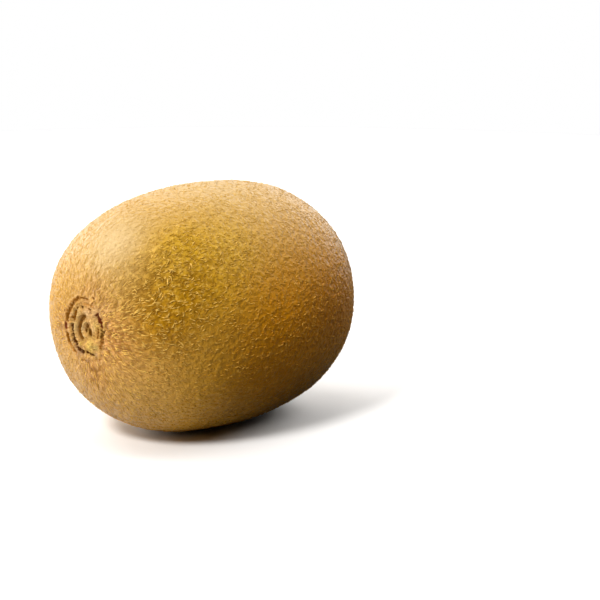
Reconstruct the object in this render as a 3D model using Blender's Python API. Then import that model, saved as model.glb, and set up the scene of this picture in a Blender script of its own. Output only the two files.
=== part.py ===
"""A golden kiwi fruit lying on its side, as one closed solid.

The fruit is a blunt barrel of nearly round section. Its long axis runs along X, with the stem scar
at -X and the blossom end at +X. It rests on a small flat spot, whose middle is near the origin.
Lengths are in metres and +Z is up.
"""

import math

import bmesh
import bpy
from mathutils import Vector

# The fruit's size
LENGTH = 0.0655
WIDTH = 0.0532
HEIGHT = 0.0529
REST_DEPTH = 0.00035

# The outline along X: x in half lengths and r in half widths keep |x|^END_POWER + r^SIDE_POWER = 1
END_POWER = 2.24
SIDE_POWER = 3.38
# The share of its radius that the fruit gains towards +X
TAPER = 0.015

# Slow waves around the section, as (times round, share of the radius, phase)
SECTION_WAVES = ((2, 0.0030, 2.2), (3, 0.0040, 0.6), (5, 0.0020, 1.9))

# The stem scar at -X: the radii and widths of its rings, and how deep or high they stand along X
STEM_DIMPLE_WIDTH = 0.0050
STEM_DIMPLE_DEPTH = 0.00040
CALYX_RING_RADIUS = 0.0066
CALYX_RING_DEPTH = 0.00030
SCAR_RING_RADIUS = 0.0043
SCAR_RING_DEPTH = 0.00055
GROOVE_WIDTH = 0.00045
SCAR_COLLAR_RADIUS = 0.0030
SCAR_COLLAR_WIDTH = 0.00080
SCAR_COLLAR_HEIGHT = 0.00045
SCAR_PIT_WIDTH = 0.0013
SCAR_PIT_DEPTH = 0.00060

# The blossom end at +X: a dimple with the dried tip in its middle
STYLE_DIMPLE_WIDTH = 0.0034
STYLE_DIMPLE_DEPTH = 0.00070
STYLE_BUTTON_WIDTH = 0.0019
STYLE_BUTTON_HEIGHT = 0.00090

# The mesh: faces around the section, rings along the fruit, and how much closer the rings stand at
# the ends than at the middle
FACES_AROUND = 64
RINGS = 46
END_CROWDING = 7.0
END_REACH = 0.009
PROFILE_SAMPLES = 4000

SKIN_COLOUR = (0.46, 0.27, 0.07, 1.0)
SKIN_ROUGHNESS = 0.62


def clear_scene():
    for obj in list(bpy.data.objects):
        bpy.data.objects.remove(obj, do_unlink=True)


def bump(distance, width):
    """A smooth hump, 1 at no distance and near 0 past two widths."""
    return math.exp(-((distance / width) ** 2))


def outline_point(angle):
    """The outline's (x, radius) in half lengths and half widths, at an angle from 0 at -X to pi at +X."""
    reach = math.sin(angle)
    x = math.copysign((1.0 - reach**SIDE_POWER) ** (1.0 / END_POWER), -math.cos(angle))
    return x, reach * (1.0 + TAPER * x)


def section_scale(angle):
    """How far the section stands out or in at this angle around the long axis."""
    return 1.0 + sum(size * math.cos(times * angle - phase) for times, size, phase in SECTION_WAVES)


def stem_relief(radius):
    """How far the skin stands out along -X, this far from the long axis."""
    height = -STEM_DIMPLE_DEPTH * bump(radius, STEM_DIMPLE_WIDTH)
    height -= CALYX_RING_DEPTH * bump(radius - CALYX_RING_RADIUS, GROOVE_WIDTH)
    height -= SCAR_RING_DEPTH * bump(radius - SCAR_RING_RADIUS, GROOVE_WIDTH)
    height += SCAR_COLLAR_HEIGHT * bump(radius - SCAR_COLLAR_RADIUS, SCAR_COLLAR_WIDTH)
    height -= SCAR_PIT_DEPTH * bump(radius, SCAR_PIT_WIDTH)
    return height


def blossom_relief(radius):
    """How far the skin stands out along +X, this far from the long axis."""
    height = -STYLE_DIMPLE_DEPTH * bump(radius, STYLE_DIMPLE_WIDTH)
    height += STYLE_BUTTON_HEIGHT * bump(radius, STYLE_BUTTON_WIDTH)
    return height


def ring_places():
    """The rings' (x, radius) from end to end, in metres, closest together at the two ends."""
    points = []
    for sample in range(PROFILE_SAMPLES + 1):
        x, radius = outline_point(math.pi * sample / PROFILE_SAMPLES)
        points.append((x * LENGTH / 2, radius * WIDTH / 2))
    travelled = [0.0]
    for (x0, r0), (x1, r1) in zip(points, points[1:]):
        middle = (r0 + r1) / 2
        weight = 1.0 + END_CROWDING * bump(middle, END_REACH)
        travelled.append(travelled[-1] + weight * math.hypot(x1 - x0, r1 - r0))
    places = []
    sample = 0
    for ring in range(1, RINGS + 1):
        wanted = travelled[-1] * ring / (RINGS + 1)
        while travelled[sample + 1] < wanted:
            sample += 1
        share = (wanted - travelled[sample]) / (travelled[sample + 1] - travelled[sample])
        (x0, r0), (x1, r1) = points[sample], points[sample + 1]
        places.append((x0 + share * (x1 - x0), r0 + share * (r1 - r0)))
    return places


def skin_point(x, radius, angle):
    """The place on the skin for a place on the outline, at this angle around the long axis."""
    relief = -stem_relief(radius) if x < 0 else blossom_relief(radius)
    reach = radius * section_scale(angle)
    return Vector((x + relief, reach * math.cos(angle), reach * HEIGHT / WIDTH * math.sin(angle)))


def skin_mesh():
    """The whole skin as a mesh of rings, closed by a fan of triangles at each end."""
    mesh = bmesh.new()
    rings = []
    for x, radius in ring_places():
        angles = [2 * math.pi * step / FACES_AROUND for step in range(FACES_AROUND)]
        rings.append([mesh.verts.new(skin_point(x, radius, angle)) for angle in angles])
    stem_tip = mesh.verts.new(skin_point(-LENGTH / 2, 0.0, 0.0))
    blossom_tip = mesh.verts.new(skin_point(LENGTH / 2, 0.0, 0.0))
    for step in range(FACES_AROUND):
        after = (step + 1) % FACES_AROUND
        for ring, following in zip(rings, rings[1:]):
            mesh.faces.new((ring[step], ring[after], following[after], following[step]))
        mesh.faces.new((stem_tip, rings[0][after], rings[0][step]))
        mesh.faces.new((blossom_tip, rings[-1][step], rings[-1][after]))
    return mesh


def cut_rest_spot(mesh):
    """Cuts a shallow slice off the underside, so that the fruit has a flat spot to lie on."""
    lowest = min(vert.co.z for vert in mesh.verts)
    everything = mesh.verts[:] + mesh.edges[:] + mesh.faces[:]
    cut = bmesh.ops.bisect_plane(
        mesh,
        geom=everything,
        plane_co=(0.0, 0.0, lowest + REST_DEPTH),
        plane_no=(0.0, 0.0, -1.0),
        clear_outer=True,
    )
    edges = [item for item in cut["geom_cut"] if isinstance(item, bmesh.types.BMEdge)]
    bmesh.ops.contextual_create(mesh, geom=edges)


def stand_on_origin(mesh):
    """Puts the origin under the middle of the fruit's box, in the plane of the flat spot."""
    corners = [[vert.co[axis] for vert in mesh.verts] for axis in range(3)]
    middle_x = (min(corners[0]) + max(corners[0])) / 2
    middle_y = (min(corners[1]) + max(corners[1])) / 2
    bmesh.ops.translate(mesh, verts=mesh.verts, vec=(-middle_x, -middle_y, -min(corners[2])))


def skin_material():
    material = bpy.data.materials.new("kiwi_skin")
    material.use_nodes = True
    shader = material.node_tree.nodes["Principled BSDF"]
    shader.inputs["Base Color"].default_value = SKIN_COLOUR
    shader.inputs["Roughness"].default_value = SKIN_ROUGHNESS
    shader.inputs["Metallic"].default_value = 0.0
    return material


def make_fruit():
    mesh = skin_mesh()
    bmesh.ops.recalc_face_normals(mesh, faces=mesh.faces)
    cut_rest_spot(mesh)
    stand_on_origin(mesh)
    bmesh.ops.recalc_face_normals(mesh, faces=mesh.faces)
    data = bpy.data.meshes.new("kiwi_fruit")
    mesh.to_mesh(data)
    mesh.free()
    data.shade_smooth()
    data.set_sharp_from_angle(angle=math.radians(60))
    data.materials.append(skin_material())
    fruit = bpy.data.objects.new("kiwi_fruit", data)
    bpy.context.scene.collection.objects.link(fruit)
    return fruit


def main():
    clear_scene()
    make_fruit()


main()
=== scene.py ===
"""The looks of a golden kiwi fruit that lies on its side.

The skin is one fine mesh, and the relief of the stem scar and of the blossom end is modelled in it.
Short hairs, each a small strand of mesh, lie all over it.
Lengths are in metres and +Z is up. The fruit's long axis runs along X, with the stem scar at -X.
"""

import math

import bpy
import numpy as np
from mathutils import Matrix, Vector


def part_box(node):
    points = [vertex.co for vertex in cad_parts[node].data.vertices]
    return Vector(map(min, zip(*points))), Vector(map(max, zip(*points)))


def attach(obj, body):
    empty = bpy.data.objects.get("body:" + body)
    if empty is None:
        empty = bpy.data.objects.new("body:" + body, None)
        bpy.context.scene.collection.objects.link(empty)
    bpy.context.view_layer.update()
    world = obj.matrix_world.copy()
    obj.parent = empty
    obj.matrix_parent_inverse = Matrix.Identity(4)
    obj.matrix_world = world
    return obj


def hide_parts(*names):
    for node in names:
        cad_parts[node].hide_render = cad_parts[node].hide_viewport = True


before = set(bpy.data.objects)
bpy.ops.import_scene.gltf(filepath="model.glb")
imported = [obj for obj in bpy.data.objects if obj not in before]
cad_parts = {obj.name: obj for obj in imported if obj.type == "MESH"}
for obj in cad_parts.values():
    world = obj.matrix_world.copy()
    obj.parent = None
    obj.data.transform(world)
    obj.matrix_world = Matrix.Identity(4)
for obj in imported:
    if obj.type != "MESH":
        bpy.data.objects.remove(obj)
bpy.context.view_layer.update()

MM = 0.001
LOW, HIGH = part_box("kiwi_fruit")
SIZE = [high - low for low, high in zip(LOW, HIGH)]

# The fruit's shape, as in the CAD model: how deep its flat spot is, its half sizes, the powers of
# its outline, how much it widens towards the blossom end, and the waves of its section, each with
# its number around the fruit, its size and its phase
REST_DEPTH = 0.35 * MM
HALF_LENGTH = SIZE[0] / 2
HALF_WIDTH = SIZE[1] / 2
HALF_HEIGHT = (SIZE[2] + REST_DEPTH) / 2
AXIS_HEIGHT = HALF_HEIGHT - REST_DEPTH
END_POWER = 2.24
SIDE_POWER = 3.38
TAPER = 0.015
SECTION_WAVES = ((2, 0.0030, 2.2), (3, 0.0040, 0.6), (5, 0.0020, 1.9))

# The skin's mesh: its steps around and its rings from end to end. Nearer the axis than each reach,
# the rings crowd together to hold the relief.
STEPS_AROUND = 360
RINGS = 276
STEM_CROWDING = 5.0
STEM_REACH = 8.2 * MM
BLOSSOM_CROWDING = 3.0
BLOSSOM_REACH = 3.5 * MM
REACH_EDGE = (0.85, 1.35)
PROFILE_SAMPLES = 6000

# How softly the side turns into the flat spot under the fruit
REST_SOFTNESS = 0.12 * MM


def bump(distance, width):
    """A smooth hump, 1 at no distance and near 0 past two widths."""
    return np.exp(-((distance / width) ** 2))


def smooth_step(low, high, value):
    """0 below low, 1 above high, and a smooth rise between them."""
    share = np.clip((value - low) / (high - low), 0.0, 1.0)
    return share * share * (3.0 - 2.0 * share)


def between(low, high, share):
    """The value at this share of the way from low to high."""
    return low + (high - low) * share


def unit(vectors):
    """The vectors, each made one long."""
    return vectors / np.linalg.norm(vectors, axis=-1, keepdims=True)


def wave_noise(points, scale, seed, waves=14):
    """A smooth random field, mostly from -1 to 1, whose lumps are about this size across."""
    draws = np.random.default_rng(seed)
    field = np.zeros(len(points))
    for _ in range(waves):
        direction = draws.normal(size=points.shape[1])
        direction *= draws.uniform(0.6, 1.4) / np.linalg.norm(direction)
        field += np.sin(points @ direction * (math.pi / scale) + draws.uniform(0.0, 2.0 * math.pi))
    return field * math.sqrt(2.0 / waves) * 0.6


# ---------------------------------------------------------------------------------------------
# The stem scar. Its plane is seen from outside, along +X: right is -Y, up is +Z, and angles turn
# anticlockwise from the right. Lengths in this section's tables are in millimetres.
# ---------------------------------------------------------------------------------------------

DARK_BROWN = (0.060, 0.017, 0.001)
BROWN = (0.160, 0.056, 0.003)
PIT_BROWN = (0.100, 0.034, 0.001)
RED_BROWN = (0.110, 0.015, 0.001)
DARK_RED = (0.085, 0.013, 0.001)
DARK_OLIVE = (0.090, 0.036, 0.001)
RUST = (0.210, 0.078, 0.010)
SHADE_BROWN = (0.400, 0.185, 0.040)
PURPLE_GREY = (0.260, 0.150, 0.120)
GREY_TAN = (0.500, 0.330, 0.130)
# Greenish grey, painted shade under the lumps of dried sepal
PINK_TAN = (0.550, 0.340, 0.160)
YELLOW_TAN = (0.520, 0.340, 0.075)
LUMP_SHADE_GREY_GREEN = (0.360, 0.250, 0.075)
PALE_TAN = (0.680, 0.450, 0.210)

# The dark colours of the cracks, slits and hollow are partly the scar's own dried tissue and partly
# painted shade: the grooves are shallower than they look, and the paint gives the rest of their
# darkness.
# Cracks along the rings: radius at the start and the end, angle at the start and the end, width,
# depth and colour
CRACKS = (
    (6.90, 6.50, 104, 174, 0.78, 0.04, SHADE_BROWN),
    (7.00, 6.60, 194, 240, 0.62, 0.04, SHADE_BROWN),
    (6.85, 6.62, 112, 150, 0.42, 0.26, BROWN),
    (6.60, 6.40, 148, 172, 0.52, 0.30, BROWN),
    (7.10, 7.05, 176, 192, 0.50, 0.36, RED_BROWN),
    (7.05, 6.55, 194, 216, 0.35, 0.18, BROWN),
    (6.60, 6.60, 216, 236, 0.25, 0.10, BROWN),
    (6.70, 6.75, 84, 108, 0.22, 0.12, BROWN),
    (5.75, 5.45, 66, 98, 0.26, 0.10, SHADE_BROWN),
    (7.50, 7.40, 69, 77, 0.24, 0.15, BROWN),
    (4.75, 4.60, 131, 166, 0.54, 0.36, BROWN),
    (4.75, 4.75, 174, 203, 0.40, 0.34, DARK_BROWN),
    (4.90, 4.80, 203, 232, 0.54, 0.40, DARK_BROWN),
    (5.30, 4.85, 234, 262, 0.36, 0.30, DARK_BROWN),
    (4.55, 5.65, 266, 300, 0.27, 0.26, DARK_BROWN),
    (4.55, 4.50, 103, 112, 0.32, 0.24, DARK_BROWN),
    (4.85, 4.80, 121, 129, 0.26, 0.20, BROWN),
    (4.70, 4.70, 70, 82, 0.24, 0.20, BROWN),
    (5.40, 5.30, 12, 50, 0.62, 0.22, DARK_RED),
    (5.15, 5.20, -10, 10, 0.66, 0.22, DARK_OLIVE),
    (5.70, 6.35, 4, 12, 0.26, 0.20, DARK_BROWN),
    (5.75, 5.40, -36, -4, 0.48, 0.12, RUST),
    (3.95, 4.05, -18, 12, 0.20, 0.14, BROWN),
    (1.62, 1.52, 76, 266, 0.17, -0.04, GREY_TAN),
)

# Slits and specks of the scar: where, which way it runs, its half length, half width, depth, colour
SLITS = (
    (0.12, 0.80, 52, 0.95, 0.50, 0.20, PIT_BROWN),
    (-0.42, -0.20, -70, 0.55, 0.30, 0.20, PIT_BROWN),
    (1.02, -0.45, -56, 1.22, 0.74, 0.36, PIT_BROWN),
    (4.70, 5.60, 30, 0.45, 0.16, 0.08, SHADE_BROWN),
    (6.50, 5.75, 60, 0.70, 0.22, 0.10, SHADE_BROWN),
    (7.60, 4.95, 40, 0.40, 0.20, 0.10, BROWN),
    (5.90, 4.60, 30, 0.35, 0.16, 0.08, BROWN),
    (2.00, 5.90, 20, 0.45, 0.14, 0.08, SHADE_BROWN),
    (-1.20, -6.60, 10, 0.90, 0.32, 0.10, SHADE_BROWN),
    (-1.50, -6.85, 60, 0.35, 0.18, 0.10, BROWN),
    (4.30, -5.60, 80, 0.80, 0.26, 0.08, SHADE_BROWN),
    (3.10, -6.90, -60, 0.65, 0.22, 0.08, SHADE_BROWN),
    (-5.20, -4.60, -70, 0.80, 0.32, 0.08, SHADE_BROWN),
    (-7.40, 2.90, 60, 0.40, 0.22, 0.08, BROWN),
    (-5.05, 8.10, -60, 0.30, 0.18, 0.08, BROWN),
)

# Lumps of dried sepal on the scar: where, radius and height
LUMPS = (
    (0.60, -3.40, 0.80, 0.42),
    (-1.55, -3.10, 0.45, 0.30),
    (1.80, -2.95, 0.90, 0.50),
    (2.90, -2.80, 0.75, 0.36),
    (3.60, -1.60, 0.65, 0.28),
    (3.30, 0.30, 0.70, 0.28),
    (3.15, 1.60, 0.80, 0.34),
    (2.20, 2.90, 0.75, 0.20),
    (3.90, -3.40, 0.60, 0.20),
    (2.40, -4.05, 0.60, 0.24),
)

# Stains on the scar, and a painted shade among its lumps: where, how far each reaches, its strength and
# colour
STAINS = (
    (-3.40, 0.00, 1.60, 0.90, GREY_TAN),
    (-2.20, 2.80, 1.50, 0.80, GREY_TAN),
    (0.30, 3.70, 1.70, 0.90, PINK_TAN),
    (2.90, 3.90, 1.30, 0.80, PINK_TAN),
    (-5.00, 2.60, 1.20, 0.80, PINK_TAN),
    (0.00, 5.60, 1.20, 0.75, SHADE_BROWN),
    (-1.60, 5.40, 0.90, 0.60, SHADE_BROWN),
    (3.20, 1.20, 1.90, 0.85, YELLOW_TAN),
    (3.40, -0.30, 1.30, 0.85, SHADE_BROWN),
    (1.60, -3.10, 1.70, 0.95, YELLOW_TAN),
    (-1.60, -3.10, 0.60, 0.90, YELLOW_TAN),
    # Painted shade under the lumps of dried sepal
    (3.40, -3.10, 1.10, 0.90, LUMP_SHADE_GREY_GREEN),
    (3.40, -4.70, 0.75, 0.75, PURPLE_GREY),
    (-2.60, -4.80, 1.10, 0.50, PURPLE_GREY),
    (-1.30, 0.20, 0.90, 0.80, PALE_TAN),
    (2.30, 0.50, 0.90, 0.80, PALE_TAN),
)

# The shallow dimple that holds the scar: how far it reaches, and its depth
SCAR_DIMPLE = (5.2, 0.34)

# Rims around the scar's middle: radius, width, height, and the angles between which each runs. At
# its ends each fades out over RIM_END degrees.
RIMS = (
    (5.60, 0.50, 0.28, 115, 250),
    (6.05, 0.50, 0.10, -100, 60),
    (3.60, 0.75, 0.34, 60, 260),
    (2.25, 0.38, 0.32, -40, 70),
    (1.52, 0.30, 0.34, 62, 295),
)
RIM_END = 15.0

# The brown hollow between the rims, which fades out over HOLLOW_END degrees. Its brown is partly the
# scar's own and partly painted shade. HOLLOW_PAINT is how much of its colour it takes.
HOLLOW_RADIUS = 2.66
HOLLOW_WIDTH = 0.58
HOLLOW_DEPTH = 0.36
HOLLOW_ANGLES = (95, 246)
HOLLOW_END = 16.0
HOLLOW_PAINT = 0.8
HOLLOW_COLOUR = (0.140, 0.052, 0.005)

# How far the scar's rings waver, in millimetres, and their ends, in degrees, each with the size of
# its waves
RING_WAVER = (0.16, 2.6)
END_WAVER = (2.5, 2.2)

# The scar's coarse grain, its fine grain and the ribs that cross its rings: how large each is and
# how high. The grains mottle the colours, too.
COARSE_GRAIN, COARSE_HEIGHT, COARSE_MOTTLE = 0.55, 0.07, 0.14
FINE_GRAIN, FINE_HEIGHT, FINE_MOTTLE = 0.26, 0.06, 0.24
RIB_STRETCH, RIB_GRAIN, RIB_HEIGHT = (4.6, 0.25), 0.24, 0.09
RIBS_FROM = (2.6, 4.0)
SCAR_EDGE = (6.6, 8.2)

# How far the coarse grain changes a crack's width, and the least and the most that it makes of it
CRACK_UNEVEN = 0.35
CRACK_WIDTHS = (0.5, 1.4)

# A mark's colour fades out more slowly than its depth, by this factor, so its painted groove shade
# reaches wider than the groove. A place whose colour is weaker than the second value counts as not
# painted yet.
PAINT_GAIN = 1.5
UNPAINTED = 0.02


def along_arc(angle, start, end, softness=5.0):
    """1 where the angle, in degrees, is between start and end, falling smoothly to 0 outside."""
    middle = (start + end) / 2
    off = np.abs((angle - middle + 180.0) % 360.0 - 180.0)
    return 1.0 - smooth_step((end - start) / 2 - softness, (end - start) / 2 + softness, off)


def scar_relief(right, up):
    """(height, colour, colour's strength) of the stem scar at places in its plane, in millimetres."""
    places = np.stack([right, up], axis=1)
    radius = np.hypot(right, up) + RING_WAVER[0] * wave_noise(places, RING_WAVER[1], 11)
    angle = np.degrees(np.arctan2(up, right)) + END_WAVER[0] * wave_noise(places, END_WAVER[1], 12)
    coarse = wave_noise(places, COARSE_GRAIN, 13)
    fine = wave_noise(places, FINE_GRAIN, 14)

    height = -SCAR_DIMPLE[1] * bump(radius, SCAR_DIMPLE[0])
    for middle, width, lift, start, end in RIMS:
        height += lift * bump(radius - middle, width) * along_arc(angle, start, end, RIM_END)
    for x, y, size, lift in LUMPS:
        height += lift * bump(np.hypot(right - x, up - y), size)

    colour = np.empty((len(right), 3))
    colour[:] = BROWN
    strength = np.zeros(len(right))
    for x, y, reach, most, tint in STAINS:
        share = most * bump(np.hypot(right - x, up - y), reach)
        colour += (np.array(tint) - colour) * np.where(strength > UNPAINTED, share, 1.0)[:, None]
        strength = np.maximum(strength, share)

    def sink(mark, depth, tint):
        """Lowers the marked places and paints them: their dried colour, with painted shade in the
        grooves.
        """
        nonlocal height, strength
        height = height - depth * mark
        share = np.clip(mark * PAINT_GAIN, 0.0, 1.0)
        colour[:] = colour + (np.array(tint) - colour) * share[:, None]
        strength = np.maximum(strength, share)

    hollow = bump(radius - HOLLOW_RADIUS, HOLLOW_WIDTH) * along_arc(angle, *HOLLOW_ANGLES, HOLLOW_END)
    sink(hollow * HOLLOW_PAINT, HOLLOW_DEPTH / HOLLOW_PAINT, HOLLOW_COLOUR)
    uneven = np.clip(1.0 + CRACK_UNEVEN * coarse, *CRACK_WIDTHS)
    for start_radius, end_radius, start, end, width, depth, tint in CRACKS:
        middle = (start + end) / 2
        turned = (angle - middle + 180.0) % 360.0 - 180.0
        share = np.clip(turned / (end - start) + 0.5, 0.0, 1.0)
        off = (radius - between(start_radius, end_radius, share)) / (width * uneven)
        mark = np.exp(-(np.abs(off) ** 3)) * along_arc(angle, start, end)
        sink(mark * np.clip(uneven, 0.0, 1.0), depth, tint)
    for x, y, turn, half_length, half_width, depth, tint in SLITS:
        c, s = math.cos(math.radians(turn)), math.sin(math.radians(turn))
        along = (right - x) * c + (up - y) * s
        across = (up - y) * c - (right - x) * s
        sink(bump(np.hypot(along / half_length, across / half_width), 1.0), depth, tint)

    polar = np.stack([np.radians(angle), radius], axis=1)
    ribs = wave_noise(polar * RIB_STRETCH, RIB_GRAIN, 15) * smooth_step(*RIBS_FROM, radius)
    inside = 1.0 - smooth_step(*SCAR_EDGE, radius)
    height += inside * (COARSE_HEIGHT * coarse + FINE_HEIGHT * fine + RIB_HEIGHT * ribs)
    colour *= (1.0 + COARSE_MOTTLE * coarse + FINE_MOTTLE * fine)[:, None]
    return height, colour, strength


# ---------------------------------------------------------------------------------------------
# The blossom end: a dimple with the dried, ragged remnant of the styles in its middle. Its plane is
# seen from outside, along -X: right is +Y, up is +Z. Lengths here are in millimetres.
# ---------------------------------------------------------------------------------------------

# The dimple, and the pit in the remnant's middle: how far each reaches, and its depth
STYLE_DIMPLE = (6.0, 0.95)
STYLE_PIT = (0.75, 0.90)

# The remnant's radius and height
STYLE_REACH = 2.8
STYLE_LIFT = 0.90

# The remnant's folds: how many, how deep, and between which distances from the middle they deepen
STYLE_FOLDS = 9
STYLE_FOLD_DEPTH = 0.26
STYLE_FOLDS_FROM = (0.4, 1.4)

# How far its edge wavers, in millimetres, and its folds, in radians, each with the size of its waves
STYLE_WAVER = (0.12, 1.6)
FOLD_WAVER = (0.25, 1.5)

# The size and height of its grain, how far the folds and the grain move its ragged edge, and how
# far that edge slopes inwards and outwards
STYLE_GRAIN = 0.5
STYLE_GRAIN_HEIGHT = 0.12
STYLE_RAGGED = (0.38, 0.42)
STYLE_SLOPE = (0.25, 0.20)

# How strong the remnant's colour is, and the brown tinge on the skin around it, with its reach
STYLE_STRENGTH = 0.95
STYLE_TINGE = (0.26, 4.0)

# How much paler the folds and the grain are, between which distances from the middle that sets in,
# and how far it goes towards the paler brown
STYLE_PALE = (0.45, 0.30)
STYLE_PALE_FROM = (0.3, 1.2)
STYLE_PALEST = 0.75


def blossom_relief(right, up):
    """(height, colour, colour's strength) of the blossom end at places in its plane."""
    places = np.stack([right, up], axis=1)
    radius = np.hypot(right, up) + STYLE_WAVER[0] * wave_noise(places, STYLE_WAVER[1], 21)
    angle = np.arctan2(up, right) + FOLD_WAVER[0] * wave_noise(places, FOLD_WAVER[1], 22)
    rough = wave_noise(places, STYLE_GRAIN, 23)
    folds = np.cos(angle * STYLE_FOLDS)
    edge = STYLE_REACH + STYLE_RAGGED[0] * folds + STYLE_RAGGED[1] * rough
    remnant = 1.0 - smooth_step(edge - STYLE_SLOPE[0], edge + STYLE_SLOPE[1], radius)
    folded = STYLE_FOLD_DEPTH * folds * smooth_step(*STYLE_FOLDS_FROM, radius)
    height = -STYLE_DIMPLE[1] * bump(radius, STYLE_DIMPLE[0])
    height += remnant * (STYLE_LIFT + folded + STYLE_GRAIN_HEIGHT * rough)
    height -= STYLE_PIT[1] * bump(radius, STYLE_PIT[0])
    colour = np.empty((len(right), 3))
    colour[:] = PIT_BROWN
    paler = np.clip(STYLE_PALE[0] * (1.0 + folds) + STYLE_PALE[1] * rough, 0.0, 1.0)
    paler *= STYLE_PALEST * smooth_step(*STYLE_PALE_FROM, radius)
    colour += (np.array(SHADE_BROWN) - PIT_BROWN) * paler[:, None]
    strength = np.maximum(STYLE_STRENGTH * remnant, STYLE_TINGE[0] * bump(radius, STYLE_TINGE[1]))
    return height, colour, strength


# ---------------------------------------------------------------------------------------------
# The skin
# ---------------------------------------------------------------------------------------------


def outline(angle):
    """The outline's (x, radius) at angles from 0 at the stem end to pi at the blossom end."""
    reach = np.sin(angle)
    x = np.copysign((1.0 - reach**SIDE_POWER) ** (1.0 / END_POWER), -np.cos(angle))
    return x * HALF_LENGTH, reach * (1.0 + TAPER * x) * HALF_WIDTH


def ring_places():
    """The rings' (x, radius), from end to end, closest together at the two ends."""
    x, radius = outline(np.linspace(0.0, math.pi, PROFILE_SAMPLES))
    middle = (radius[1:] + radius[:-1]) / 2
    at_stem = x[1:] < 0
    crowding = np.where(at_stem, STEM_CROWDING, BLOSSOM_CROWDING)
    reach = np.where(at_stem, STEM_REACH, BLOSSOM_REACH)
    weight = 1.0 + crowding * (1.0 - smooth_step(*REACH_EDGE, middle / reach))
    travelled = np.concatenate([[0.0], np.cumsum(weight * np.hypot(np.diff(x), np.diff(radius)))])
    wanted = travelled[-1] * (np.arange(RINGS) + 0.5) / RINGS
    return np.interp(wanted, travelled, x), np.interp(wanted, travelled, radius)


def section_scale(angle):
    """How far the section stands out or in at this angle around the long axis."""
    return 1.0 + sum(size * np.cos(times * angle - phase) for times, size, phase in SECTION_WAVES)


def press_on_floor(height):
    """The heights with the underside pressed flat, as where the fruit lies on a surface."""
    return (height + np.sqrt(height**2 + REST_SOFTNESS**2)) / 2


# The skin's own colour and how fuzzy it is, from 0 to 1
GROUND = (0.505, 0.258, 0.028)
GROUND_FUZZ = 0.52

# Patches where they differ: the middle and how far the patch reaches, in millimetres, its strength,
# its fuzziness and its colour. Each patch covers those before it.
PATCHES = (
    # The smooth, pale top
    (0.0, -4.0, 53.0, 24.0, 0.95, 0.33, (0.505, 0.308, 0.085)),
    # The stem end, and the hairy skin close around its scar
    (-31.5, -8.0, 26.0, 13.0, 0.90, 1.00, (0.600, 0.318, 0.095)),
    (-30.0, 0.0, 12.0, 12.0, 0.90, 0.60, (0.545, 0.315, 0.115)),
    (-28.5, -12.0, 38.5, 7.0, 0.85, 1.00, (0.540, 0.325, 0.085)),
    (-32.5, -8.0, 25.5, 4.5, 0.75, 1.00, (0.660, 0.320, 0.100)),
    (-32.5, -2.5, 17.5, 4.0, 0.70, 1.00, (0.520, 0.235, 0.050)),
    (-32.5, -1.5, 34.5, 4.0, 0.70, 1.00, (0.540, 0.255, 0.050)),
    (-32.5, 7.5, 26.0, 3.5, 0.60, 1.00, (0.540, 0.255, 0.060)),
    # The smooth shoulder above the stem end
    (-27.5, -3.5, 46.0, 10.0, 0.95, 0.14, (0.462, 0.305, 0.118)),
    # The golden and olive band that runs down the side, behind the stem end
    (-16.0, -20.0, 37.0, 9.0, 0.85, 0.88, (0.565, 0.312, 0.018)),
    (-10.0, -20.0, 42.0, 8.0, 0.80, 0.78, (0.560, 0.336, 0.030)),
    (-16.5, -20.5, 12.0, 12.0, 0.85, 0.45, (0.570, 0.285, 0.022)),
    (-27.8, -17.8, 30.0, 7.5, 0.90, 0.88, (0.430, 0.200, 0.001)),
    (-23.5, -18.5, 37.0, 6.5, 0.90, 0.84, (0.440, 0.214, 0.001)),
    (-19.5, -15.5, 44.0, 6.0, 0.85, 0.80, (0.540, 0.300, 0.006)),
    # The brown middle and far end of the side. Their brown is partly the skin's own and partly painted
    # shade, where a cut half lay close beside the fruit
    (-2.0, -26.5, 27.0, 13.0, 0.85, 0.46, (0.570, 0.228, 0.001)),
    (16.0, -22.0, 26.0, 16.0, 0.80, 0.46, (0.450, 0.146, 0.001)),
    # The pale spot on the shoulder, a painted highlight where the key light's gloss lies, and the pale
    # combed hairs below it
    (-28.3, -3.4, 43.8, 4.2, 0.85, 0.24, (0.575, 0.392, 0.180)),
    (-23.0, -15.8, 41.3, 4.0, 0.55, 1.00, (0.640, 0.385, 0.050)),
    (-24.5, -16.5, 37.0, 3.5, 0.50, 1.00, (0.540, 0.300, 0.030)),
    # The lower part of the side. The second patch, darker, is painted shade close above the floor
    (-1.0, -24.0, 14.0, 13.0, 0.80, 0.50, (0.680, 0.250, 0.001)),
    (-9.0, -18.0, 6.0, 7.0, 0.75, 0.50, (0.360, 0.160, 0.004)),
    (-28.5, -12.0, 12.5, 7.0, 0.70, 0.70, (0.480, 0.265, 0.060)),
)


def skin_tint(points):
    """(colour, fuzziness) of the skin, without its marks, at each point, with a painted highlight and
    painted shade in some of its patches.
    """
    tint = np.tile(np.array(GROUND), (len(points), 1))
    fuzz = np.full(len(points), GROUND_FUZZ)
    for x, y, z, reach, strength, own_fuzz, colour in PATCHES:
        share = strength * bump(np.linalg.norm(points / MM - (x, y, z), axis=1), reach)
        tint += (np.array(colour) - tint) * share[:, None]
        fuzz += (own_fuzz - fuzz) * share
    return tint, fuzz


# Out to these distances from the fruit's axis, the relief of its two ends is laid on
SCAR_PLANE = 11.0 * MM
BLOSSOM_PLANE = 8.0 * MM

# The whole skin's gentle swells and its ripples: height, width and seed
UNEVENNESS = ((0.12 * MM, 9.0 * MM, 31), (0.03 * MM, 2.6 * MM, 32))


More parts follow.
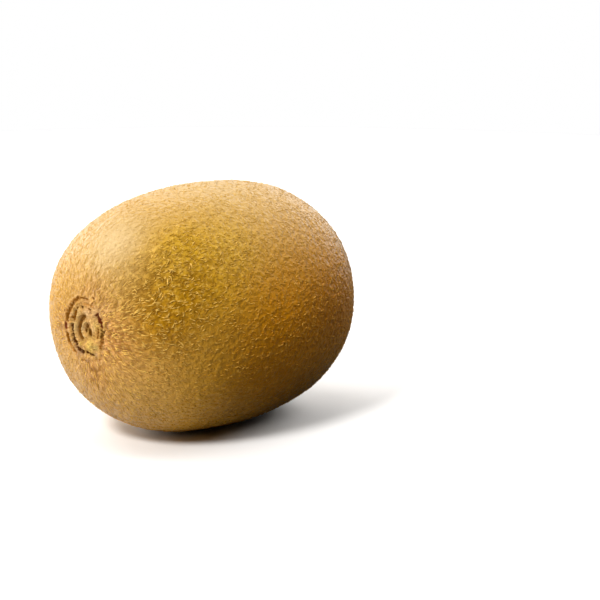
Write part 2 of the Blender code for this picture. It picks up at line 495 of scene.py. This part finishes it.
def skin_surface(x, radius, angle):
    """(points, colour, colour's strength) of the skin for places on the outline."""
    reach = radius * section_scale(angle)
    across = reach * np.cos(angle)
    height = reach * HALF_HEIGHT / HALF_WIDTH * np.sin(angle)
    points = np.stack([x, across, height], axis=1)
    lift = sum(size * wave_noise(points, width, seed) for size, width, seed in UNEVENNESS)
    points[:, 0] += lift * x / HALF_LENGTH
    points[:, 1:] *= 1.0 + (lift / HALF_WIDTH)[:, None]

    colour = np.tile(np.array(BROWN), (len(x), 1))
    strength = np.zeros(len(x))
    stem = (x < 0) & (radius < SCAR_PLANE)
    out, colour[stem], strength[stem] = scar_relief(-across[stem] / MM, height[stem] / MM)
    points[stem, 0] -= out * MM
    tip = (x > 0) & (radius < BLOSSOM_PLANE)
    out, colour[tip], strength[tip] = blossom_relief(across[tip] / MM, height[tip] / MM)
    points[tip, 0] += out * MM
    points[:, 2] = press_on_floor(points[:, 2] + AXIS_HEIGHT)
    return points, colour, strength


def mesh_object(name, points, face_groups, uv, attributes, material):
    """A smooth mesh piece. Each group of faces has one size, and uv has one row for each corner.

    attributes holds, by name, one number or one colour for each point.
    """
    sizes = np.concatenate([np.full(len(group), group.shape[1]) for group in face_groups])
    corners = np.concatenate([group.ravel() for group in face_groups])
    starts = np.concatenate([[0], np.cumsum(sizes)[:-1]])
    data = bpy.data.meshes.new(name)
    data.vertices.add(len(points))
    data.vertices.foreach_set("co", points.astype(np.float32).ravel())
    data.loops.add(len(corners))
    data.loops.foreach_set("vertex_index", corners.astype(np.int32))
    data.polygons.add(len(sizes))
    data.polygons.foreach_set("loop_start", starts.astype(np.int32))
    data.polygons.foreach_set("loop_total", sizes.astype(np.int32))
    data.update(calc_edges=True)
    layer = data.uv_layers.new(name="OFBake")
    layer.data.foreach_set("uv", uv.astype(np.float32).ravel())
    for attribute_name, values in attributes.items():
        if values.ndim == 1:
            attribute = data.attributes.new(attribute_name, "FLOAT", "POINT")
            attribute.data.foreach_set("value", values.astype(np.float32))
        else:
            attribute = data.attributes.new(attribute_name, "FLOAT_COLOR", "POINT")
            opaque = np.concatenate([values, np.ones((len(values), 1))], axis=1)
            attribute.data.foreach_set("color", opaque.astype(np.float32).ravel())
    data.shade_smooth()
    data.materials.append(material)
    piece = bpy.data.objects.new(name, data)
    bpy.context.scene.collection.objects.link(piece)
    return piece


def corner_uvs(*corners):
    """One row for each corner of each face, from every corner's u and v for all the faces."""
    shape = corners[-1][0].shape
    columns = [np.broadcast_to(value, shape) for corner in corners for value in corner]
    return np.stack(columns, axis=1).reshape(-1, 2)


def skin_uvs():
    """The UVs of the skin's quads and of its two fans: u runs around the fruit and v along it."""
    turn = np.arange(STEPS_AROUND + 1) / STEPS_AROUND
    row = np.arange(RINGS + 2) / (RINGS + 1)
    left, right = turn[:-1], turn[1:]
    middle = (left + right) / 2
    lefts, rights = np.tile(left, RINGS - 1), np.tile(right, RINGS - 1)
    here = np.repeat(row[1:RINGS], STEPS_AROUND)
    beyond = np.repeat(row[2 : RINGS + 1], STEPS_AROUND)
    quads = corner_uvs((lefts, here), (lefts, beyond), (rights, beyond), (rights, here))
    stem_fan = corner_uvs((middle, row[0]), (left, row[1]), (right, row[1]))
    blossom_fan = corner_uvs((middle, row[-1]), (right, row[-2]), (left, row[-2]))
    return np.concatenate([quads, stem_fan, blossom_fan])


def make_skin(material):
    """The skin's mesh piece: rings of quads, with a fan of triangles over each end."""
    ring_x, ring_radius = ring_places()
    angles = np.arange(STEPS_AROUND) * (2.0 * math.pi / STEPS_AROUND)
    x = np.repeat(ring_x, STEPS_AROUND)
    radius = np.repeat(ring_radius, STEPS_AROUND)
    points, colour, strength = skin_surface(x, radius, np.tile(angles, RINGS))

    grid = np.arange(RINGS * STEPS_AROUND).reshape(RINGS, STEPS_AROUND)
    after = np.roll(grid, -1, axis=1)
    quads = np.stack([grid[:-1], grid[1:], after[1:], after[:-1]], axis=-1).reshape(-1, 4)
    stem_tip = np.full(STEPS_AROUND, len(points))
    stem_fan = np.stack([stem_tip, grid[0], after[0]], axis=1)
    blossom_fan = np.stack([stem_tip + 1, after[-1], grid[-1]], axis=1)

    tips = np.array([points[grid[0]].mean(axis=0), points[grid[-1]].mean(axis=0)])
    points = np.concatenate([points, tips])
    next_to_tips = [grid[0, 0], grid[-1, 0]]
    tint, fuzz = skin_tint(points)
    attributes = {
        "mark_colour": np.concatenate([colour, colour[next_to_tips]]),
        "mark": np.concatenate([strength, strength[next_to_tips]]),
        "tint": tint,
        "fuzz": fuzz,
    }
    return mesh_object("skin", points, [quads, stem_fan, blossom_fan], skin_uvs(), attributes, material)


# ---------------------------------------------------------------------------------------------
# The fuzz. Fuzziness runs from 0 to 1, and the smallest shares, sizes and lifts belong to 0.
# ---------------------------------------------------------------------------------------------

# Places where a hair may grow lie in rows. Rows and places are this far apart, and each place
# strays up to this share of it from its row.
HAIR_SPACING = 0.50 * MM
ROW_SCATTER = 0.55

# The share of those places that have a hair, where the hairs are combed and where they are loose,
# and the part of that share that is left on bare skin
HAIR_SHARE_COMBED = 0.72
HAIR_SHARE_LOOSE = 0.66
BARE_SKIN_SHARE = 0.22

# The scar and the blossom end: how far each reaches from the axis, and its own share
SCAR_RADIUS = 6.3 * MM
SCAR_HAIR_SHARE = 0.06
TIP_RADIUS = 3.0 * MM
TIP_HAIR_SHARE = 0.20

# No hair grows where the skin's mark is this strong, or this close to the floor
BARE_MARK = 0.3
FLOOR_GAP = 0.25 * MM

# Up to this distance from the stem end, along the skin, the hairs are combed away from it. From
# the second distance on they lie every way.
COMBED_UP_TO = 13.0 * MM
LOOSE_FROM = 25.0 * MM

# Three kinds of hair: length, radius, spread of their headings in radians, and curl in radians
# per millimetre. On bare skin their length and radius shrink to LEAST_SIZE of these.
COMBED = ((0.90 * MM, 1.80 * MM), (0.070 * MM, 0.150 * MM), 0.22, 0.20)
TUFT = ((0.65 * MM, 1.30 * MM), (0.090 * MM, 0.210 * MM), 0.62, 0.60)
CURLY = ((0.90 * MM, 1.50 * MM), (0.045 * MM, 0.070 * MM), 1.30, 1.80)
CURLY_SHARE = 0.10
LEAST_SIZE = 0.40

# Some hairs are dark, short and thin: their share on bare and on fuzzy skin, length, radius, part of
# the usual lift, and a tone that marks them. They are partly dark hairs and partly painted shade: they
# stand for the short dark shadows that lifted hairs cast on bright skin.
DARK_HAIR_SHARE = (0.36, 0.05)
DARK_LENGTH = (0.22 * MM, 0.50 * MM)
DARK_RADIUS = (0.035 * MM, 0.065 * MM)
DARK_LIFT = 0.6
DARK_TONE = -1.0

# Tone, from 0 to 1, says how pale a hair is. It differs from hair to hair, and from tuft to tuft,
# most of all where the hairs are combed.
TONE_SPREAD = 0.6
TUFT_TONE = 0.90
TUFT_TONE_LOOSE = 0.10
TUFT_SIZE = 0.60 * MM

# A hair rises in an arch from just under the skin. The paler it is, the higher it rises, and on
# bare skin it hardly rises. The arch is this part of half a sine wave.
HAIR_LIFT = (0.10 * MM, 0.34 * MM)
LEAST_LIFT = 0.05
ARCH_START, ARCH_END = 0.04, 0.92
ROOT_DEPTH = 0.02 * MM

# A hair's mesh: the points along it and their share of the way, its sides, how thick it is for its
# width, how much thinner its root is, and the least height of its points over the floor
HAIR_POINTS = 6
HAIR_SHARES = np.linspace(0.0, 1.0, HAIR_POINTS)
HAIR_SIDES = 3
HAIR_FLATNESS = 0.55
ROOT_THINNING = 0.35
LEAST_HEIGHT = 0.02 * MM

# The seed of all that differs from hair to hair
FUZZ_SEED = 7

# The hairs are spread over this many pieces, and each hair's UVs fill this much of its own cell
FUZZ_PIECES = 4
CELL_FILL = 0.9


def hair_roots(draws):
    """(x, radius, angle, distance from the stem end) of the places on the outline for hairs."""
    x, radius = outline(np.linspace(0.0, math.pi, PROFILE_SAMPLES))
    travelled = np.concatenate([[0.0], np.cumsum(np.hypot(np.diff(x), np.diff(radius)))])
    rows = int(travelled[-1] / HAIR_SPACING)
    found = []
    for row in range(rows):
        place = (row + 0.5) * travelled[-1] / rows
        count = max(1, round(2.0 * math.pi * np.interp(place, travelled, radius) / HAIR_SPACING))
        turn = (np.arange(count) + draws.uniform(-0.5, 0.5, count) + draws.uniform()) / count
        along = place + draws.uniform(-ROW_SCATTER, ROW_SCATTER, count) * HAIR_SPACING
        along = np.clip(along, 0.0, travelled[-1])
        found.append(np.stack([along, turn * 2.0 * math.pi], axis=1))
    along, angle = np.concatenate(found).T
    return np.interp(along, travelled, x), np.interp(along, travelled, radius), angle, along


def grown_hairs(draws):
    """(x, radius, angle, root, how far combed, tint, fuzziness) of each place where a hair grows."""
    x, radius, angle, stem_distance = hair_roots(draws)
    roots, _, mark = skin_surface(x, radius, angle)
    combed = 1.0 - smooth_step(COMBED_UP_TO, LOOSE_FROM, stem_distance)
    tint, fuzz = skin_tint(roots)
    chance = between(HAIR_SHARE_LOOSE, HAIR_SHARE_COMBED, combed) * between(BARE_SKIN_SHARE, 1.0, fuzz)
    on_scar = (x < 0) & (radius < SCAR_RADIUS)
    on_tip = (x > 0) & (radius < TIP_RADIUS)
    chance = np.where(on_scar, SCAR_HAIR_SHARE, np.where(on_tip, TIP_HAIR_SHARE, chance))
    grows = (roots[:, 2] > FLOOR_GAP) & (mark < BARE_MARK) & (draws.uniform(size=len(x)) < chance)
    return [values[grows] for values in (x, radius, angle, roots, combed, tint, fuzz)]


def skin_directions(x, radius, angle):
    """The skin's outward normals, and its directions along the fruit towards the blossom end."""
    profile_x, profile_radius = outline(np.linspace(0.0, math.pi, PROFILE_SAMPLES))
    slope_x, slope_radius = np.gradient(profile_x), np.gradient(profile_radius)
    length = np.hypot(slope_x, slope_radius) + 1e-12
    bearings = np.arctan2(profile_radius, -profile_x)
    bearing = np.arctan2(radius, -x)
    along_x = np.interp(bearing, bearings, slope_x / length)
    along_radius = np.interp(bearing, bearings, slope_radius / length)
    out_y, out_z = np.cos(angle), np.sin(angle)
    along = np.stack([along_x, along_radius * out_y, along_radius * out_z], axis=1)
    normal = np.stack([-along_radius, along_x * out_y, along_x * out_z], axis=1)
    return normal, along


def hair_traits(draws, roots, combed, fuzz):
    """(length, radius, heading, curl, curl's turn, lift, tone) of each hair."""
    count = len(roots)
    dark = draws.uniform(size=count) < between(*DARK_HAIR_SHARE, fuzz)
    picked = draws.uniform(size=count)
    kinds = np.where(picked < combed, 0, np.where(draws.uniform(size=count) < CURLY_SHARE, 2, 1))
    lengths, radii, spreads, curls = (np.array(column)[kinds] for column in zip(COMBED, TUFT, CURLY))
    stout = draws.uniform(size=count)
    size = between(LEAST_SIZE, 1.0, fuzz)
    length = between(*lengths.T, draws.uniform(size=count)) * size
    radius = between(*radii.T, stout) * size
    length = np.where(dark, draws.uniform(*DARK_LENGTH, count), length)
    radius = np.where(dark, draws.uniform(*DARK_RADIUS, count), radius)
    heading = draws.normal(0.0, 1.0, count) * spreads
    curl = draws.normal(0.0, 1.0, count) * curls / MM
    curl_turn = draws.uniform(-1.0, 1.0, count)
    tone = 0.5 + TONE_SPREAD * (draws.uniform(size=count) - 0.5)
    tone += TUFT_TONE * (TUFT_TONE_LOOSE + combed) * wave_noise(roots, TUFT_SIZE, 41)
    tone = np.where(dark, 0.0, np.clip(tone, 0.0, 1.0))
    lift = between(*HAIR_LIFT, tone) * np.where(dark, DARK_LIFT, between(LEAST_LIFT, 1.0, fuzz))
    return length, radius, heading, curl, curl_turn, lift, np.where(dark, DARK_TONE, tone)


def hair_centres(roots, normal, along, length, heading, curl, curl_turn, lift):
    """The points along the middle of each hair, from its root to its tip."""
    across = np.cross(normal, along)
    step = length / (HAIR_POINTS - 1)
    spot = np.zeros((len(roots), 2))
    direction = heading
    centres = np.empty((len(roots), HAIR_POINTS, 3))
    for k, share in enumerate(HAIR_SHARES):
        rise = lift * math.sin(math.pi * min(ARCH_END, share * ARCH_END + ARCH_START)) - ROOT_DEPTH
        rise -= (spot**2).sum(axis=1) / (2.0 * HALF_WIDTH)
        centres[:, k] = roots + along * spot[:, :1] + across * spot[:, 1:] + normal * rise[:, None]
        spot = spot + np.stack([np.cos(direction), np.sin(direction)], axis=1) * step[:, None]
        # In its second half, a hair may curl further or back
        direction = direction + curl * step * (1.0 if share < 0.5 else curl_turn * 2.0)
    return centres


def hair_tubes(centres, normal, radius):
    """Each hair's points: the corners of its sections from the root on, and then its tip."""
    tangent = unit(np.gradient(centres, axis=1))
    side = unit(np.cross(tangent, normal[:, None, :]))
    top = np.cross(side, tangent)
    left = 1.0 - HAIR_SHARES
    girth = np.sqrt(left) * (1.0 - ROOT_THINNING * left**4)
    points = np.empty((len(centres), (HAIR_POINTS - 1) * HAIR_SIDES + 1, 3))
    for k in range(HAIR_POINTS - 1):
        for s in range(HAIR_SIDES):
            turn = 2.0 * math.pi * s / HAIR_SIDES + math.pi / 2
            offset = side[:, k] * math.cos(turn) + top[:, k] * math.sin(turn) * HAIR_FLATNESS
            points[:, k * HAIR_SIDES + s] = centres[:, k] + offset * (radius * girth[k])[:, None]
    points[:, -1] = centres[:, -1]
    points[..., 2] = np.maximum(points[..., 2], LEAST_HEIGHT)
    return points


def hair_faces():
    """One hair's (faces, UVs): first its quads, and then the triangles that meet at its tip."""
    quads, quad_uv, fan, fan_uv = [], [], [], []
    tip = (HAIR_POINTS - 1) * HAIR_SIDES
    for k in range(HAIR_POINTS - 1):
        low, high = HAIR_SHARES[k : k + 2]
        for s in range(HAIR_SIDES):
            a, b = s / HAIR_SIDES, (s + 1) / HAIR_SIDES
            here, there = k * HAIR_SIDES + s, k * HAIR_SIDES + (s + 1) % HAIR_SIDES
            if k < HAIR_POINTS - 2:
                quads.append((here, there, there + HAIR_SIDES, here + HAIR_SIDES))
                quad_uv.append(((a, low), (b, low), (b, high), (a, high)))
            else:
                fan.append((here, there, tip))
                fan_uv.append(((a, low), (b, low), ((a + b) / 2, high)))
    return (np.array(quads), np.array(quad_uv)), (np.array(fan), np.array(fan_uv))


def make_fuzz(material):
    """The hairs as mesh pieces, one piece for each stretch of the fruit's length."""
    draws = np.random.default_rng(FUZZ_SEED)
    x, radius, angle, roots, combed, tint, fuzz = grown_hairs(draws)
    normal, along = skin_directions(x, radius, angle)
    length, hair_radius, *bends, tone = hair_traits(draws, roots, combed, fuzz)
    points = hair_tubes(hair_centres(roots, normal, along, length, *bends), normal, hair_radius)
    per_hair = points.shape[1]
    share_along = np.append(np.repeat(HAIR_SHARES[:-1], HAIR_SIDES), 1.0)

    pieces = []
    stretches = np.array_split(np.argsort(x, kind="stable"), FUZZ_PIECES)
    for number, members in enumerate(stretches, start=1):
        index = np.arange(len(members))
        cells = math.ceil(math.sqrt(len(members)))
        cell = np.stack([index % cells, index // cells], axis=1) / cells
        groups, uvs = [], []
        for faces, uv in hair_faces():
            first = index[:, None, None] * per_hair
            groups.append((first + faces).reshape(-1, faces.shape[1]))
            uvs.append((cell[:, None, None, :] + uv * CELL_FILL / cells).reshape(-1, 2))
        attributes = {
            "tone": np.repeat(tone[members], per_hair),
            "share": np.tile(share_along, len(members)),
            "tint": np.repeat(tint[members], per_hair, axis=0),
            "fuzz": np.repeat(fuzz[members], per_hair),
        }
        own_points = points[members].reshape(-1, 3)
        uv = np.concatenate(uvs)
        pieces.append(mesh_object(f"fuzz_{number}", own_points, groups, uv, attributes, material))
    return pieces


# ---------------------------------------------------------------------------------------------
# Materials. Noise scales are per metre.
# ---------------------------------------------------------------------------------------------


class Nodes:
    """A short way to add and link the nodes of a material or of the world."""

    def __init__(self, owner):
        owner.use_nodes = True
        self.tree = owner.node_tree

    def set(self, socket, value):
        if isinstance(value, bpy.types.NodeSocket):
            self.tree.links.new(value, socket)
        else:
            socket.default_value = value

    def finish(self, name, inputs):
        """Sets the inputs of the last node, which is there from the start."""
        for key, value in inputs.items():
            self.set(self.tree.nodes[name].inputs[key], value)

    def add(self, kind, inputs=None, **settings):
        node = self.tree.nodes.new("ShaderNode" + kind)
        for key, value in settings.items():
            setattr(node, key, value)
        for key, value in (inputs or {}).items():
            self.set(node.inputs[key], value)
        return node

    def attribute(self, name, output):
        return self.add("Attribute", attribute_name=name).outputs[output]

    def noise(self, vector, scale, detail=3.0, roughness=0.5):
        inputs = {"Vector": vector, "Scale": scale, "Detail": detail, "Roughness": roughness}
        return self.add("TexNoise", inputs).outputs["Fac"]

    def math(self, operation, *values):
        return self.add("Math", dict(enumerate(values)), operation=operation).outputs[0]

    def along(self, vector, direction):
        """How far the vector reaches in this direction."""
        node = self.add("VectorMath", {0: vector, 1: direction}, operation="DOT_PRODUCT")
        return node.outputs["Value"]

    def span(self, value, low, high, to_low=0.0, to_high=1.0):
        """The value's range from low to high, stretched smoothly to to_low and to_high."""
        inputs = {"Value": value, "From Min": low, "From Max": high, "To Min": to_low, "To Max": to_high}
        return self.add("MapRange", inputs, interpolation_type="SMOOTHSTEP").outputs["Result"]

    def mix(self, share, first, second, blend="MIX"):
        """The two colours, mixed or blended by this share."""
        inputs = {0: share, 6: first, 7: second}
        return self.add("Mix", data_type="RGBA", blend_type=blend, inputs=inputs).outputs[2]

    def multiply(self, first, second):
        return self.mix(1.0, first, second, "MULTIPLY")


def rgb(colour):
    return (*colour, 1.0)


# The skin's colour is its tint times a mottle, from deep to light where it is fuzzy, and calm
# where it is bare
CALM = (0.98, 0.98, 0.96)
DEEP = (0.27, 0.18, 0.06)
LIGHT = (1.00, 0.98, 0.95)
MOTTLE_POWER = 2.6

# Pale flecks and dark pores in it
FLECK_STRENGTH = 0.40
PORE = (0.150, 0.062, 0.003)

# The scales of its noises, how high its lumps and specks stand in its fine relief, and its sheen
LUMP_SCALE = 850.0
SPECK_SCALE = 1100.0
PORE_SCALE = 1500.0
GLOSS_SCALE = 400.0
LUMP_RELIEF = 2.2
SPECK_RELIEF = 0.8
RELIEF_DEPTH = 0.22 * MM
SKIN_ROUGHNESS = (0.30, 0.40)
DRIED_ROUGHNESS = 0.60
GLOSS_TINT = (1.000, 0.720, 0.360)

# A hair's colour runs from low to pale. Low is the skin's tint times HAIR_CALM where it is bare, and
# times HAIR_LOW where it is fuzzy.
HAIR_PALE = (0.980, 0.630, 0.145)
HAIR_LOW = (0.72, 0.66, 0.34)
# Painted light: HAIR_CALM makes the hairs on bare skin paler than the skin, so that their shaded sides
# don't look dark
HAIR_CALM = (1.30, 1.26, 1.20)
# HAIR_DARK, the dark hairs' colour, is partly painted shade for the dashes that hair shadows make
HAIR_DARK = (0.150, 0.062, 0.003)


def skin_material():
    material = bpy.data.materials.new("kiwi_skin")
    nodes = Nodes(material)
    place = nodes.add("TexCoord").outputs["Object"]
    lumps = nodes.noise(place, LUMP_SCALE, 2.0, 0.55)
    specks = nodes.noise(place, SPECK_SCALE, 2.0, 0.6)
    pores = nodes.add("TexVoronoi", {"Vector": place, "Scale": PORE_SCALE}).outputs["Distance"]
    fuzz = nodes.attribute("fuzz", "Fac")
    mark = nodes.attribute("mark", "Fac")

    mottle = nodes.mix(nodes.span(lumps, 0.32, 0.66), rgb(DEEP), rgb(LIGHT))
    mottle = nodes.mix(nodes.math("POWER", fuzz, MOTTLE_POWER), rgb(CALM), mottle)
    colour = nodes.multiply(nodes.attribute("tint", "Color"), mottle)
    fleck = nodes.math("MULTIPLY", nodes.span(specks, 0.52, 0.75, 0.0, FLECK_STRENGTH), fuzz)
    colour = nodes.mix(fleck, colour, rgb(HAIR_PALE))
    hole = nodes.math("MULTIPLY", nodes.span(pores, 0.28, 0.12), nodes.span(fuzz, 0.0, 1.0, 0.12, 0.50))
    colour = nodes.mix(hole, colour, rgb(PORE))
    colour = nodes.mix(mark, colour, nodes.attribute("mark_colour", "Color"))

    roughness = nodes.span(nodes.noise(place, GLOSS_SCALE), 0.3, 0.7, *SKIN_ROUGHNESS)
    dried = nodes.math("MULTIPLY", nodes.span(mark, 0.1, 0.5), DRIED_ROUGHNESS)
    specks_up = nodes.math("MULTIPLY", specks, SPECK_RELIEF)
    relief = nodes.math("ADD", nodes.math("MULTIPLY", lumps, LUMP_RELIEF), specks_up)
    depth = nodes.span(fuzz, 0.0, 0.35, 0.12, 0.95)
    normal = nodes.add("Bump", {"Height": relief, "Strength": depth, "Distance": RELIEF_DEPTH})
    surface = {
        "Base Color": colour,
        "Roughness": nodes.math("ADD", roughness, dried),
        "Specular IOR Level": 0.30,
        "Specular Tint": rgb(GLOSS_TINT),
        "Normal": normal.outputs["Normal"],
    }
    nodes.finish("Principled BSDF", surface)
    return material


def hair_material():
    material = bpy.data.materials.new("kiwi_hair")
    nodes = Nodes(material)
    tone = nodes.attribute("tone", "Fac")
    share = nodes.attribute("share", "Fac")
    tint = nodes.attribute("tint", "Color")
    fuzz = nodes.attribute("fuzz", "Fac")
    # On bare skin the hairs are painted paler than the skin, painted light that hides their shaded sides
    low = nodes.multiply(tint, nodes.mix(fuzz, rgb(HAIR_CALM), rgb(HAIR_LOW)))
    up_the_hair = nodes.span(share, 0.0, 0.35, 0.45, 1.0)
    pale = nodes.math("MULTIPLY", nodes.span(tone, 0.30, 0.80, 0.03, 0.88), up_the_hair)
    pale = nodes.math("MULTIPLY", pale, nodes.span(fuzz, 0.0, 0.9, 0.20, 1.0))
    # Dark hairs, partly painted shade for the short shadows of lifted hairs
    is_dark = nodes.math("LESS_THAN", tone, DARK_TONE / 2)
    dark = nodes.math("MULTIPLY", is_dark, nodes.span(fuzz, 0.0, 0.8, 0.46, 0.75))
    colour = nodes.mix(dark, nodes.mix(pale, low, rgb(HAIR_PALE)), rgb(HAIR_DARK))
    surface = {
        "Base Color": colour,
        "Roughness": 0.50,
        "Specular IOR Level": 0.10,
        "Specular Tint": rgb(GLOSS_TINT),
    }
    nodes.finish("Principled BSDF", surface)
    return material


# ---------------------------------------------------------------------------------------------
# Floor, lights and camera
# ---------------------------------------------------------------------------------------------

CENTRE = Vector((0.0, 0.0, AXIS_HEIGHT))

# Where the camera stands around the fruit's middle, and the place near the middle that it aims at
CAMERA_DISTANCE = 0.424
CAMERA_AZIMUTH = -42.17
CAMERA_ELEVATION = 13.36
CAMERA_AIM = Vector((0.01535, -0.01451, 0.02689))
CAMERA_LENS = 116.16

# Soft round lights: azimuth from the camera's, elevation, diameter, power, and whether the skin
# mirrors them
LIGHT_DISTANCE = 0.9
LIGHTS = (
    ("key", -114.0, 54.0, 0.50, 2.9, True),
    ("left", -108.0, 15.0, 0.50, 3.9, True),
    ("left_back", -144.0, 15.0, 0.50, 1.3, True),
    ("front_left", -36.0, 42.0, 0.24, 7.8, False),
    ("right_back", 107.0, 48.0, 0.90, 2.8, True),
    ("right_fill", 95.0, 45.0, 0.50, 2.2, False),
    ("right_rim", 150.0, 20.0, 0.50, 1.0, True),
    ("back", 180.0, 42.0, 0.50, 0.5, True),
    ("top", 0.0, 89.0, 0.50, 1.4, False),
)

# The white room's light on the fruit, how much brighter the skin mirrors it, and between which
# values it fades in from the sides to the back
BACKDROP_LIGHT = 0.85
BACKDROP_SHINE = 1.8
BACKDROP_FADE = (0.1, 0.9)

# The floor's size, its colour to the camera, and the light that it throws back, as a share: the
# second share is on the right, past the second distance from the fruit's middle
FLOOR_RADIUS = 0.45
# FLOOR_SEEN is faintly warm. That warmth shows only in the floor's shadow, as painted warm light bounced
# from the fruit
FLOOR_SEEN = (0.885, 0.868, 0.846)
FLOOR_BOUNCE = (0.70, 0.06)
FLOOR_DIM_FROM = (-0.012, 0.022)


def away(azimuth, elevation):
    """The direction from the fruit to a viewer, with azimuth 0 at -Y and 90 at +X."""
    a, e = math.radians(azimuth), math.radians(elevation)
    return Vector((math.sin(a) * math.cos(e), -math.cos(a) * math.cos(e), math.sin(e)))


def aim(thing, target):
    thing.rotation_euler = (thing.location - target).to_track_quat("Z", "Y").to_euler()


def floor_material():
    """White where the camera sees it. It lights the fruit from below less, and least from the right."""
    material = bpy.data.materials.new("floor_white")
    nodes = Nodes(material)
    place = nodes.add("TexCoord").outputs["Object"]
    to_right = nodes.along(place, away(CAMERA_AZIMUTH + 90.0, 0.0))
    bounce = nodes.span(to_right, *FLOOR_DIM_FROM, *FLOOR_BOUNCE)
    grey = nodes.add("CombineColor", {"Red": bounce, "Green": bounce, "Blue": bounce}).outputs[0]
    seen = nodes.add("LightPath").outputs["Is Camera Ray"]
    # The camera sees FLOOR_SEEN, whose faint warmth is painted bounce light in the shadow
    colour = nodes.mix(seen, grey, rgb(FLOOR_SEEN))
    nodes.finish("Principled BSDF", {"Base Color": colour, "Roughness": 0.9, "Specular IOR Level": 0.0})
    return material


def make_floor():
    bpy.ops.mesh.primitive_circle_add(vertices=128, radius=FLOOR_RADIUS, fill_type="NGON")
    floor = bpy.context.object
    floor.name = "floor"
    floor.data.materials.append(floor_material())


def make_lights():
    for name, azimuth, elevation, diameter, power, glossy in LIGHTS:
        data = bpy.data.lights.new(name, "AREA")
        data.shape = "DISK"
        data.size = diameter
        data.energy = power
        lamp = bpy.data.objects.new(name, data)
        lamp.location = CENTRE + away(CAMERA_AZIMUTH + azimuth, elevation) * LIGHT_DISTANCE
        lamp.visible_camera = False
        lamp.visible_glossy = glossy
        aim(lamp, CENTRE)
        bpy.context.scene.collection.objects.link(lamp)


def make_world():
    """White to the camera. To the fruit it is a bright backdrop that fades out towards the sides."""
    world = bpy.data.worlds.new("white_room")
    nodes = Nodes(world)
    way = nodes.add("TexCoord").outputs["Generated"]
    backwards = nodes.along(way, -away(CAMERA_AZIMUTH, 0.0))
    light = nodes.span(backwards, *BACKDROP_FADE, 0.0, BACKDROP_LIGHT)
    ray = nodes.add("LightPath").outputs
    shine = nodes.math("MULTIPLY_ADD", ray["Is Glossy Ray"], BACKDROP_SHINE - 1.0, 1.0)
    light = nodes.math("MULTIPLY", light, shine)
    strength = nodes.add("Mix", {0: ray["Is Camera Ray"], 2: light, 3: 1.0}).outputs[0]
    nodes.finish("Background", {"Color": (1.0, 1.0, 1.0, 1.0), "Strength": strength})
    bpy.context.scene.world = world


def make_camera():
    data = bpy.data.cameras.new("camera")
    data.lens = CAMERA_LENS
    data.clip_start = 0.01
    camera = bpy.data.objects.new("camera", data)
    camera.location = CENTRE + away(CAMERA_AZIMUTH, CAMERA_ELEVATION) * CAMERA_DISTANCE
    aim(camera, CAMERA_AIM)
    bpy.context.scene.collection.objects.link(camera)
    bpy.context.scene.camera = camera


def main():
    skin = make_skin(skin_material())
    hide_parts("kiwi_fruit")
    for piece in [skin, *make_fuzz(hair_material())]:
        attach(piece, "root")
    make_floor()
    make_lights()
    make_world()
    make_camera()
    bpy.context.scene.view_settings.view_transform = "Standard"


main()
